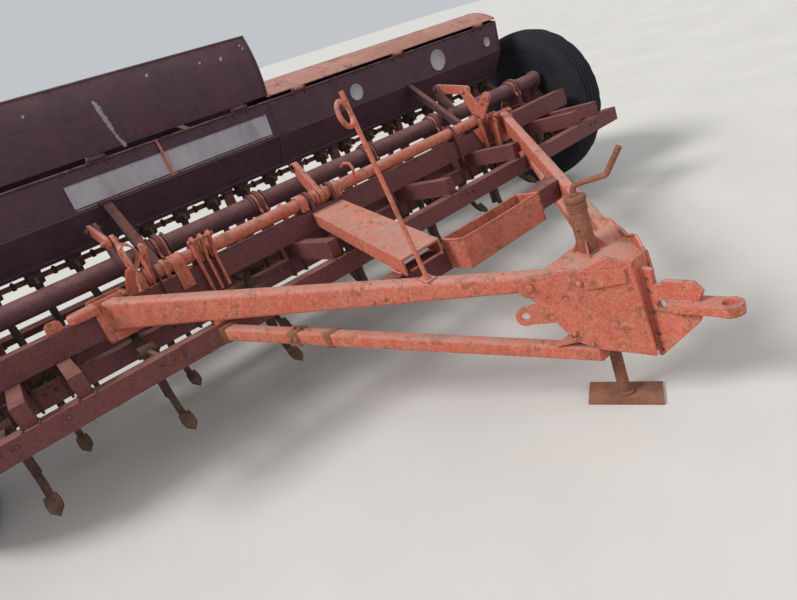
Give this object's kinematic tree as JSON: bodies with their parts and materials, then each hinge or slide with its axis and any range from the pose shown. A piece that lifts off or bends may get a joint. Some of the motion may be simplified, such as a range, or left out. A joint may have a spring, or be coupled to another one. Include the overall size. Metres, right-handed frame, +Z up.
{
  "type": "seed drill",
  "caption": "Trailed tine seed drill with a long sheet hopper, box-section A-frame drawbar, lift shafts and two rubber-tyred wheels, parked on its screw jack.",
  "frame": {"origin": "middle of the machine's plan, on the ground it is parked on", "axes": "+X to the machine's left along the hopper, -Y forward to the hitch, +Z up"},
  "size_m": [4.26, 2.7796, 1.4991],
  "materials": {
    "drawbar_paint": "sun-faded orange-red paint with rust speckle",
    "frame_paint": "dull dark red paint, rusted",
    "hopper_paint": "oxidised maroon paint",
    "faded_paint": "chalky faded pinkish paint",
    "shaft_paint": "purplish worn paint",
    "rusty_steel": "bare rusty steel",
    "dark_steel": "dark rust and soil",
    "tube_rubber": "dull perished rubber",
    "sign_sheet": "pale weathered sheet",
    "tyre": "worn black rubber",
    "rim_paint": "weathered pale paint"
  },
  "bodies": {
    "frame": {"main_beam": "frame_paint", "drawbar_leg_right": "drawbar_paint", "drawbar_leg_left": "drawbar_paint", "lower_brace_right": "drawbar_paint", "lower_brace_left": "drawbar_paint", "cross_member": "frame_paint", "centre_strut": "drawbar_paint", "hitch_head": "drawbar_paint", "hitch_clevis": "drawbar_paint", "jack_tube": "rusty_steel", "jack_crank": "rusty_steel", "toolbox": "drawbar_paint", "hose_holder": "drawbar_paint", "tine_bar_front": "frame_paint", "tine_bar_middle": "frame_paint", "tine_bar_rear": "frame_paint", "frame_rails": "frame_paint", "tines_front": "dark_steel", "tines_middle": "dark_steel", "tines_rear": "dark_steel", "seed_tubes": "tube_rubber", "hopper_body": "hopper_paint", "hopper_partitions": "hopper_paint", "hopper_supports": "frame_paint", "lid_hinges": "frame_paint", "sign_plate": "sign_sheet", "round_badges": "sign_sheet", "metering_units": "rusty_steel", "feed_shaft": "rusty_steel", "drive_case": "rusty_steel", "footboard": "frame_paint", "footboard_brackets": "frame_paint", "shaft_stands": "frame_paint"},
    "rear_lift": {"rear_lift_shaft": "shaft_paint", "rear_lift_arms": "shaft_paint", "wheel_cranks": "shaft_paint"},
    "front_lift": {"front_lift_shaft": "drawbar_paint", "front_lift_arms": "drawbar_paint"},
    "lift_links": {"lift_links": "drawbar_paint"},
    "wheel_right": {"tyre_right": "tyre", "rim_right": "rim_paint"},
    "wheel_left": {"tyre_left": "tyre", "rim_left": "rim_paint"},
    "lid_right": {"lid_right": "hopper_paint"},
    "lid_left": {"lid_left": "faded_paint"},
    "jack_foot": {"jack_leg": "rusty_steel", "jack_pad": "rusty_steel"}
  },
  "joints": [
    {"name": "lift_turn", "type": "hinge", "parent": "frame", "child": "rear_lift", "pos_m": [0, 0.66946, 0.76804], "axis": [1, 0, 0], "range_deg": [-25, 30]},
    {"name": "front_shaft_turn", "type": "hinge", "parent": "frame", "child": "front_lift", "pos_m": [0, 0.43687, 0.73932], "axis": [1, 0, 0], "range_deg": [-25, 30]},
    {"name": "link_turn", "type": "hinge", "parent": "front_lift", "child": "lift_links", "pos_m": [0, 0.53558, 0.90167], "axis": [1, 0, 0], "range_deg": [-30, 25]},
    {"name": "wheel_right_spin", "type": "hinge", "parent": "rear_lift", "child": "wheel_right", "pos_m": [-2.0075, 0.85375, 0.535], "axis": [1, 0, 0], "continuous": true},
    {"name": "wheel_left_spin", "type": "hinge", "parent": "rear_lift", "child": "wheel_left", "pos_m": [2.0075, 0.85375, 0.535], "axis": [1, 0, 0], "continuous": true},
    {"name": "lid_right_hinge", "type": "hinge", "parent": "frame", "child": "lid_right", "pos_m": [-0.9, 0.86233, 1.18962], "axis": [1, 0, 0], "range_deg": [-71, 0]},
    {"name": "lid_left_hinge", "type": "hinge", "parent": "frame", "child": "lid_left", "pos_m": [0.9, 0.86233, 1.18962], "axis": [1, 0, 0], "range_deg": [0, 71]},
    {"name": "jack_slide", "type": "slide", "parent": "frame", "child": "jack_foot", "axis": [0, 0.1444, 0.9895], "range_m": [-0.08, 0.18]}
  ],
  "couplings": [
    {"joint": "front_shaft_turn", "follows": "lift_turn", "ratio": 1},
    {"joint": "link_turn", "follows": "lift_turn", "ratio": -1}
  ]
}
